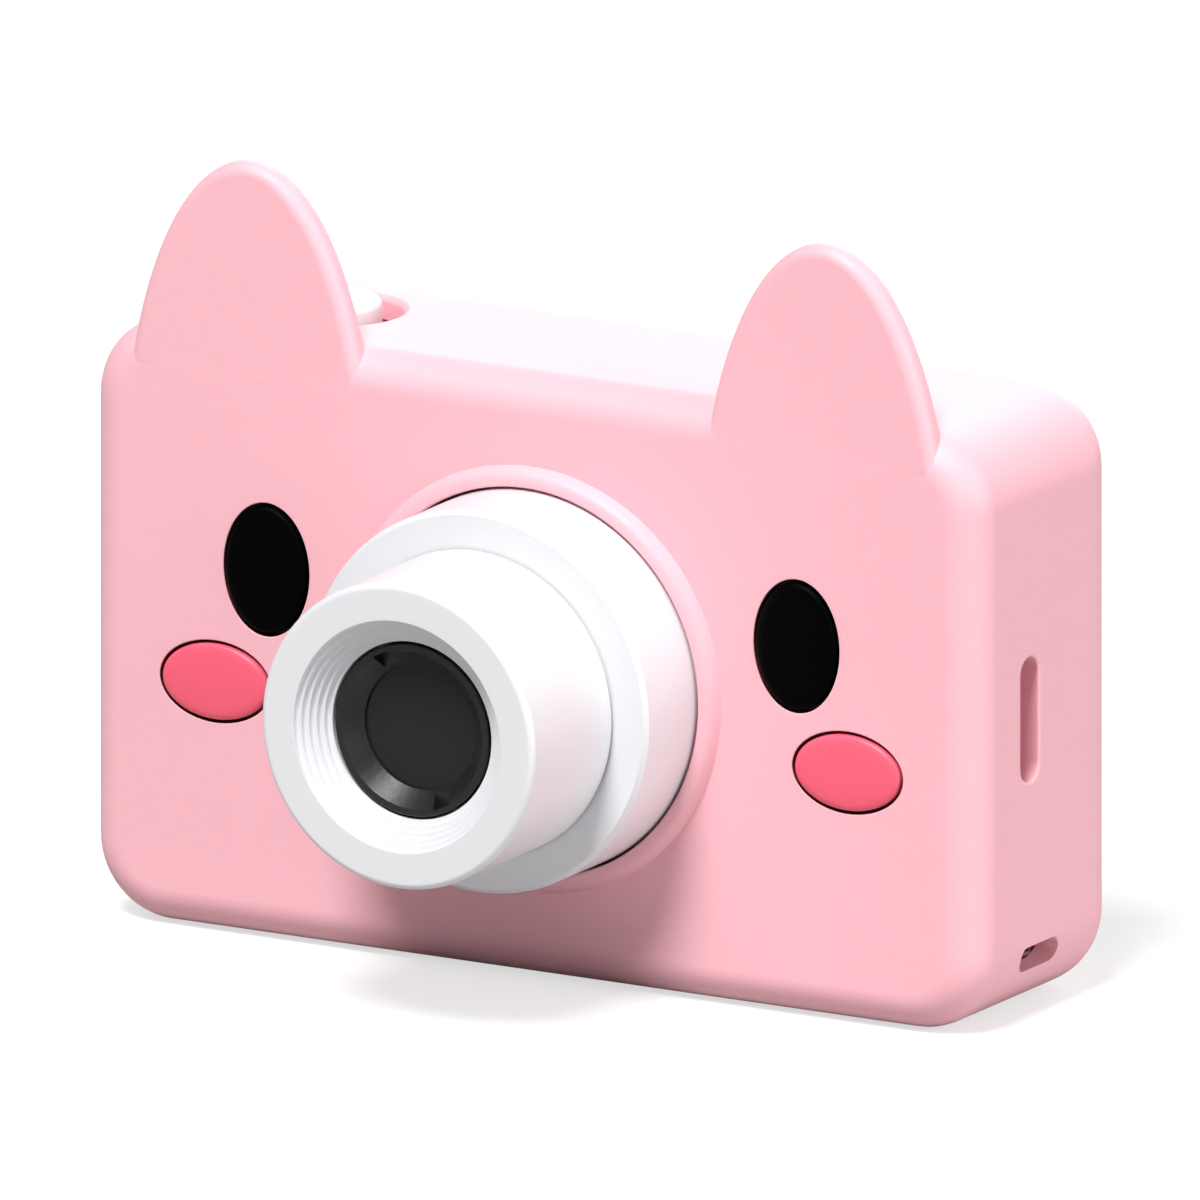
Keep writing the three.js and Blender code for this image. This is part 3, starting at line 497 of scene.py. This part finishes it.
# ---- Lens -----------------------------------------------------------------------------------------
def build_lens():
    inner = barrel_radius - 2
    barrel = turned(ring_profile([
        (neck_radius + fit, barrel_front), (barrel_radius - 0.45, barrel_front),
        (barrel_radius, barrel_front + 0.45), (barrel_radius, barrel_foot), (inner, barrel_foot),
        (inner, barrel_front + 2), (neck_radius + fit, barrel_front + 2)]), lens_x, lens_z, 144)
    piece(thing("barrel", barrel), glossy_white, "white", "camera", "lens_barrel", degrees=40)

    mouth, foot, count = 11.9, 9.15, 5
    seat_radius, hollow_radius = 7.3, 9.6
    ring_face = node_box("lens_retaining_ring")[0].y
    seat_front, seat_rear = ring_face + 3.6, ring_face + 5.1
    profile = [(seat_radius, seat_front), (foot, seat_front), (foot, ring_face)]
    tread = (mouth - foot) / count
    rise = (ring_face - nose_front) / count
    for i in range(count):
        radius, y = foot + tread * (i + 1), ring_face - rise * i
        profile += [(radius, y), (radius, y - rise)]
    edge = 0.7
    profile += [(nose_radius - edge + edge * math.sin(a), nose_front + edge - edge * math.cos(a))
                for a in (i / 6 * math.pi / 2 for i in range(7))]
    shoulder = barrel_front - fit
    nose_foot = node_box("lens_nose")[1].y
    profile += [(nose_radius, shoulder), (neck_radius, shoulder), (neck_radius, nose_foot),
                (hollow_radius, nose_foot), (hollow_radius, seat_rear), (seat_radius, seat_rear)]
    nose = turned(ring_profile(profile), lens_x, lens_z, 144)
    ridges = [e for e in sharp_edges(nose, 40)
              if nose_front - 0.01 < e.verts[0].co.y < ring_face + 0.01
              and math.hypot(e.verts[0].co.x - lens_x, e.verts[0].co.z - lens_z) < mouth + 0.1]
    bevel_edges(nose, ridges, 0.13, 2)
    piece(thing("nose", nose), glossy_white, "white", "camera", "lens_nose", degrees=40)

    ring_rear = node_box("lens_retaining_ring")[1].y
    ring_bore = 6.45
    ring = thing("notched_ring", turned(ring_profile([
        (ring_bore, ring_rear), (8.0, ring_face + 0.1), (8.1, ring_face), (8.75, ring_face),
        (8.85, ring_face + 0.1), (8.85, ring_rear)]), lens_x, lens_z, 128))
    notch_turns = (115, -65)
    notches = []
    for turn in notch_turns:
        notch = block((5.5, ring_face - 1, -1.0), (8.3, ring_face + 1.3, 1.0))
        bmesh.ops.rotate(notch, cent=(0, 0, 0), matrix=Matrix.Rotation(-math.radians(turn), 3, "Y"),
                         verts=notch.verts)
        bmesh.ops.translate(notch, vec=(lens_x, 0, lens_z), verts=notch.verts)
        notches.append(notch)
    boolean(ring, notches, "DIFFERENCE")
    piece(ring, matt_black, "black", "camera", "lens_retaining_ring", degrees=30)

    # The clear lens window is drawn opaque and dark: painted shade for the inside of the lens.
    glass_front, glass_rear = (corner_.y for corner_ in node_box("lens_window"))
    glass_radius = 8.5
    glass = turned([(0, glass_front), (8.4, glass_front), (glass_radius, glass_front + 0.1),
                    (glass_radius, glass_rear), (0, glass_rear)], lens_x, lens_z, 96)
    piece(thing("dark_window", glass), window_painted_shade, "clear", "camera", "lens_window", degrees=40)


build_lens()


# ---- Shutter button -------------------------------------------------------------------------------
def dome_profile(radius, base, top, edge, crown):
    """Half of a low dome with a rounded rim, from its axis out and down to its base."""
    points = [(0, top), (radius - edge, top - crown)]
    points += [(radius - edge + edge * math.sin(a), top - crown - edge + edge * math.cos(a))
               for a in (i / 6 * math.pi / 2 for i in range(1, 7))]
    return points + [(radius, base)]


def build_shutter():
    low, high = node_box("shutter_button")
    centre = (low + high) / 2
    radius = (high.x - low.x) / 2 - flange
    flange_top = front_shell_high.z - shell_wall - fit
    outline = dome_profile(radius, flange_top, high.z, 0.9, 0.15)
    outline += [(radius + flange, flange_top), (radius + flange, flange_top - flange_thickness),
                (stem_radius, flange_top - flange_thickness), (stem_radius, low.z), (0, low.z)]
    cap = swing_up(turned(outline, 0, 0, 72), centre.x, centre.y)
    piece(thing("shutter_cap", cap), glossy_white, "white", "shutter_button", "shutter_button", degrees=50)


build_shutter()


# ---- Rear panel, keys and screen ------------------------------------------------------------------
KEYS = ("ok", "left", "up", "right", "down", "power", "mode")
CASE_SCREWS = tuple(f"case_screw_{i}" for i in range(1, 5))
screw_head_height = 1.1
window_lip = 3.5
case_post_radius = 3
key_stud_radius = 2
case_screw_bore = 1.4
key_screw_bore = 1.1
screw_shank = 1.1


def rod(centre, radius, start, end, sides=32):
    return turned([(0, start), (radius, start), (radius, end), (0, end)], centre.x, centre.z, sides)


def build_rear_panel():
    """The rear half of the hard case, with its posts, openings and rounded edges."""
    low, high = rear_shell_low, rear_shell_high
    inset = Vector((shell_wall, 0, shell_wall))
    panel = thing("rear_panel", slab(low, high, corner - wall - fit, rear=0.3, edge_steps=3))
    room = slab(low + inset - Vector((0, 1, 0)), high - inset - Vector((0, shell_wall, 0)),
                corner - wall - fit - shell_wall)
    boolean(panel, [room], "DIFFERENCE")
    floor_y = high.y - shell_wall
    posts = [rod(middle(name), case_post_radius, low.y, floor_y + 1) for name in CASE_SCREWS]
    key_stud_front = node_box("key_board")[1].y + fit
    posts += [rod(middle(name), key_stud_radius, key_stud_front, floor_y + 1)
              for name in ("key_screw_1", "key_screw_2")]
    boolean(panel, posts, "UNION")

    window_low, window_high = node_box("screen_window")
    margin = Vector((fit, 0, fit))
    lip = Vector((window_lip, 0, window_lip))
    recess = slot_cutter(window_low - margin - Vector((0, fit, 0)), window_high + margin, 3, high.y, 0.2)
    view_low, view_high = window_low + lip, window_high - lip
    view_low.y, view_high.y = floor_y - 1, window_high.y + 1
    cuts = [recess, slab(view_low, view_high, 1.5)]
    for name in KEYS:
        key_low, key_high = node_box(f"{name}_key")
        centre = (key_low + key_high) / 2
        radius = (key_high.x - key_low.x) / 2 - flange + fit
        cuts.append(round_cutter(centre.x, centre.z, radius, radius, floor_y - 1, high.y, 0.25, sides=48))
    for name in CASE_SCREWS:
        centre, (screw_low, screw_high) = middle(name), node_box(name)
        head = (screw_high.x - screw_low.x) / 2 + fit
        cuts.append(rod(centre, case_screw_bore, low.y - 1, high.y + 1, 24))
        cuts.append(round_cutter(centre.x, centre.z, head, head, high.y - screw_head_height - fit,
                                 high.y, 0.2, sides=40))
    for name in ("key_screw_1", "key_screw_2"):
        cuts.append(rod(middle(name), key_screw_bore, key_stud_front - 1, key_stud_front + 4, 20))
    speaker, slot_pitch = middle("speaker"), 2.1
    for row in (-1, 0, 1):
        middle_z = speaker.z + row * slot_pitch
        cuts.append(slot_cutter(Vector((speaker.x - 4.5, floor_y - 1, middle_z - 0.5)),
                                Vector((speaker.x + 4.5, high.y, middle_z + 0.5)), 0.49, high.y, 0.12,
                                steps=5))
    boolean(panel, cuts, "DIFFERENCE")
    piece(panel, case_pink, "case", "camera", "rear_shell", degrees=35)


def build_case_screws():
    """Pan heads with a cross recess, at the foot of their counterbores."""
    for name in CASE_SCREWS:
        low, high = node_box(name)
        centre = (low + high) / 2
        head, top = (high.x - low.x) / 2, high.y
        seat = rear_shell_high.y - screw_head_height
        profile = [(0, low.y), (screw_shank, low.y), (screw_shank, seat), (head, seat), (head, top - 0.5),
                   (head - 0.15, top - 0.2), (head - 0.5, top - 0.05), (0, top)]
        screw = thing(f"{name}_head", turned(profile, centre.x, centre.z, 40))
        cross_arm = (1.2, 0.28)
        arms = [block((centre.x - a, top - 0.6, centre.z - b), (centre.x + a, top + 1, centre.z + b))
                for a, b in (cross_arm, cross_arm[::-1])]
        boolean(screw, arms, "DIFFERENCE")
        piece(screw, plain_steel, "steel", "camera", name, degrees=40)


def arc(radius, start, end, steps=20):
    return [(radius * math.cos(math.radians(a)), radius * math.sin(math.radians(a)))
            for a in (start + (end - start) * i / steps for i in range(steps + 1))]


def bar(x, z, half_x, half_z):
    return [(x - half_x, z - half_z), (x + half_x, z - half_z),
            (x + half_x, z + half_z), (x - half_x, z + half_z)]


def symbol(name):
    """The outlines of a key's plain generic mark, about its middle, as drawn in X and Z."""
    if name == "ok":
        return [arc(1.35, 0, 350, 40) + arc(0.95, 350, 0, 40)]
    if name == "power":
        return [arc(1.25, 125, 415, 30) + arc(0.9, 415, 125, 30), bar(0, 0.95, 0.17, 0.75)]
    if name == "mode":
        return [bar(0, row * 0.7, 1.05, 0.17) for row in (-1, 0, 1)]
    turn = {"left": 0, "up": 90, "right": 180, "down": 270}[name]
    return [[(1.15 * math.cos(math.radians(turn + a)), 1.15 * math.sin(math.radians(turn + a)))
             for a in (0, 120, 240)]]


def build_keys():
    for name in KEYS:
        body = f"{name}_key"
        low, high = node_box(body)
        centre = (low + high) / 2
        radius = (high.x - low.x) / 2 - flange
        flange_rear = rear_shell_high.y - shell_wall - fit
        flange_front = flange_rear - flange_thickness
        outline = dome_profile(radius, flange_rear, high.y, 0.5, 0.0)
        outline += [(radius + flange, flange_rear), (radius + flange, flange_front),
                    (stem_radius, flange_front), (stem_radius, low.y), (0, low.y)]
        cap = turned(outline, centre.x, centre.z, 48)
        piece(thing(f"{name}_cap", cap), glossy_white, "white", body, body, degrees=50)
        outlines = [[(centre.x + x, centre.z + z) for x, z in part] for part in symbol(name)]
        mark = plate(outlines, high.y - 0.04, high.y + 0.03)
        piece(thing(f"{name}_mark", mark), matt_black, "black", body)


def build_screen_window():
    low, high = node_box("screen_window")
    glass = slab(low, high, 2.7, rear=0.15, edge_steps=3)
    piece(thing("screen_glass", glass), screen_glass, "clear", "camera", "screen_window", degrees=40)


build_rear_panel()
build_case_screws()
build_keys()
build_screen_window()


# ---- Carried-over pieces --------------------------------------------------------------------------
NODE_FINISH = {
    "case": case_pink, "white": glossy_white, "black": matt_black, "board": board_green,
    "steel": plain_steel, "panel": screen_black, "flex": flex_amber, "foil": battery_foil,
    "clear": lens_clear, "sleeve": sleeve_pink, "eye": eye_black, "cheek": cheek_pink,
}
for part in frame["record"]["subparts"]:
    node = frame["nodes"][part["node"]]
    node.data.materials.clear()
    node.data.materials.append(NODE_FINISH[part["material_slot"]])


# ---- Floor, light and view ------------------------------------------------------------------------
def build_floor():
    bm = bmesh.new()
    bmesh.ops.create_grid(bm, x_segments=1, y_segments=1, size=3000)
    floor = thing("floor", bm, closed=False)
    floor.location.z = -0.0001
    material = bpy.data.materials.new("floor_white")
    material.use_nodes = True
    nodes, links = material.node_tree.nodes, material.node_tree.links
    shader = nodes["Principled BSDF"]
    shader.inputs["Base Color"].default_value = (0.4, 0.4, 0.4, 1)
    shader.inputs["Roughness"].default_value = 0.9
    shader.inputs["Specular IOR Level"].default_value = 0.1
    seen = nodes.new("ShaderNodeLightPath")
    either = nodes.new("ShaderNodeMath")
    either.operation = "MAXIMUM"
    links.new(seen.outputs["Is Camera Ray"], either.inputs[0])
    links.new(seen.outputs["Is Transmission Ray"], either.inputs[1])
    lift = nodes.new("ShaderNodeMath")
    lift.operation = "MULTIPLY"
    lift.inputs[1].default_value = 0.64
    links.new(either.outputs[0], lift.inputs[0])
    shader.inputs["Emission Color"].default_value = (1, 1, 1, 1)
    links.new(lift.outputs[0], shader.inputs["Emission Strength"])
    floor.data.materials.append(material)


def build_world():
    world = bpy.data.worlds.new("studio")
    bpy.context.scene.world = world
    world.use_nodes = True
    nodes, links = world.node_tree.nodes, world.node_tree.links
    background = nodes["Background"]
    background.inputs["Color"].default_value = (1, 1, 1, 1)
    seen = nodes.new("ShaderNodeLightPath")
    strength = nodes.new("ShaderNodeMapRange")
    strength.inputs["To Min"].default_value = 0.12
    strength.inputs["To Max"].default_value = 1.0
    links.new(seen.outputs["Is Camera Ray"], strength.inputs["Value"])
    links.new(strength.outputs["Result"], background.inputs["Strength"])


def sun(name, come_from, strength, spread):
    """Even light from one direction, from a source as wide as the spread in degrees."""
    data = bpy.data.lights.new(name, "SUN")
    data.energy = strength
    data.angle = math.radians(spread)
    light = bpy.data.objects.new(name, data)
    light.rotation_euler = (-Vector(come_from)).to_track_quat("-Z", "Y").to_euler()
    bpy.context.scene.collection.objects.link(light)


def build_camera():
    turn, tip = math.radians(30), math.radians(14.5)
    right = Vector((math.cos(turn), math.sin(turn), 0))
    look = Vector((-math.sin(turn) * math.cos(tip), math.cos(turn) * math.cos(tip), -math.sin(tip)))
    up = right.cross(look)
    face = Vector((lens_x, front_plane, lens_z))
    aim = (face + 6.88 * right + 7.89 * up) * MM
    data = bpy.data.cameras.new("view")
    data.type = "ORTHO"
    data.ortho_scale = 0.120
    data.clip_start = 0.01
    camera = bpy.data.objects.new("view", data)
    camera.location = aim - look * 0.6
    camera.rotation_euler = look.to_track_quat("-Z", "Y").to_euler()
    bpy.context.scene.collection.objects.link(camera)
    bpy.context.scene.camera = camera


build_floor()
build_world()
sun("key", (0.05, -0.45, 0.78), 3.8, 20)
sun("side", (1.0, -0.05, 0.3), 1.55, 40)
sun("behind", (-0.25, 0.9, 0.35), 1.5, 40)
build_camera()
bpy.context.scene.view_settings.view_transform = "Standard"
